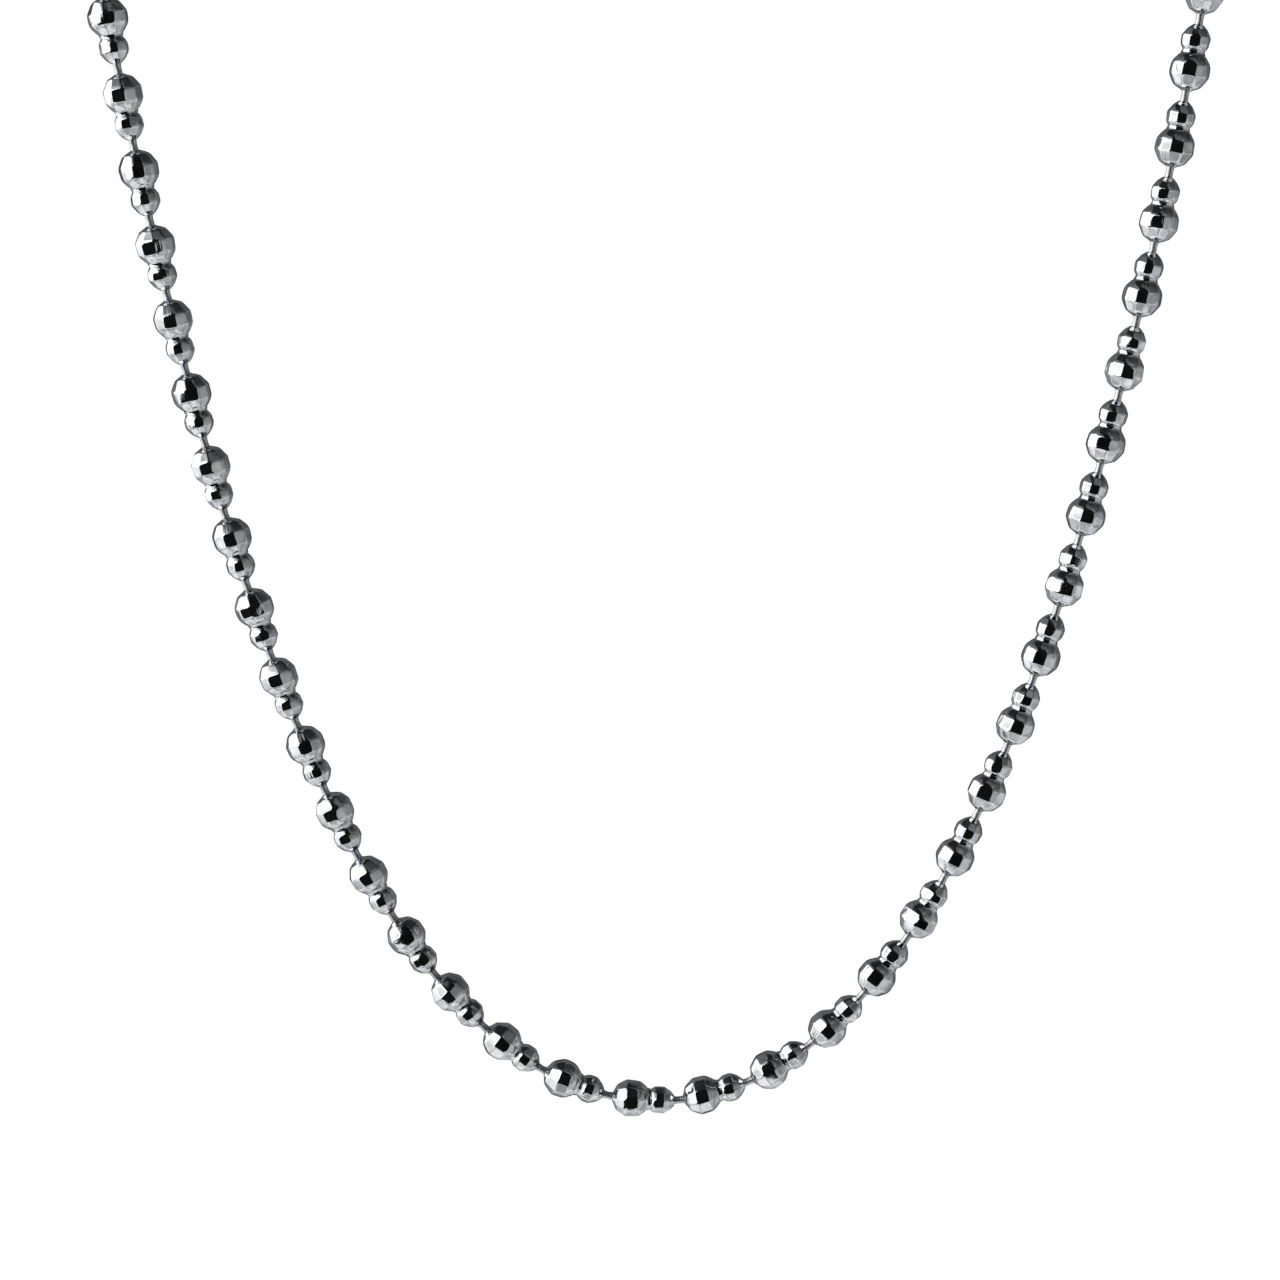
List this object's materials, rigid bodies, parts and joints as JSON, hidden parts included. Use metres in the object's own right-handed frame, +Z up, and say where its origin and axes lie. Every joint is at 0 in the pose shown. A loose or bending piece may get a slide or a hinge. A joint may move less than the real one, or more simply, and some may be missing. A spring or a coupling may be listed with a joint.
{
  "type": "ball chain necklace",
  "caption": "Neck chain of faceted double balls, each a big and a small ball, linked by short headed pins and closed by a plain barrel clasp.",
  "frame": {"origin": "where the chain rests on the back of the neck, on the inner side of the clasp at the middle of the nape", "axes": "+Z up, -Y towards the hanging front of the loop, +X to the right as seen from the front"},
  "size_m": [0.0987, 0.0851, 0.113],
  "materials": {
    "cut_silver": "diamond-cut mirror facets on plated silver",
    "pin_silver": "bright drawn wire",
    "clasp_silver": "polished plain barrel"
  },
  "bodies": {
    "root": {"beads_left": "cut_silver", "beads_right": "cut_silver", "link_pins": "pin_silver", "barrel_clasp": "clasp_silver"}
  },
  "joints": []
}
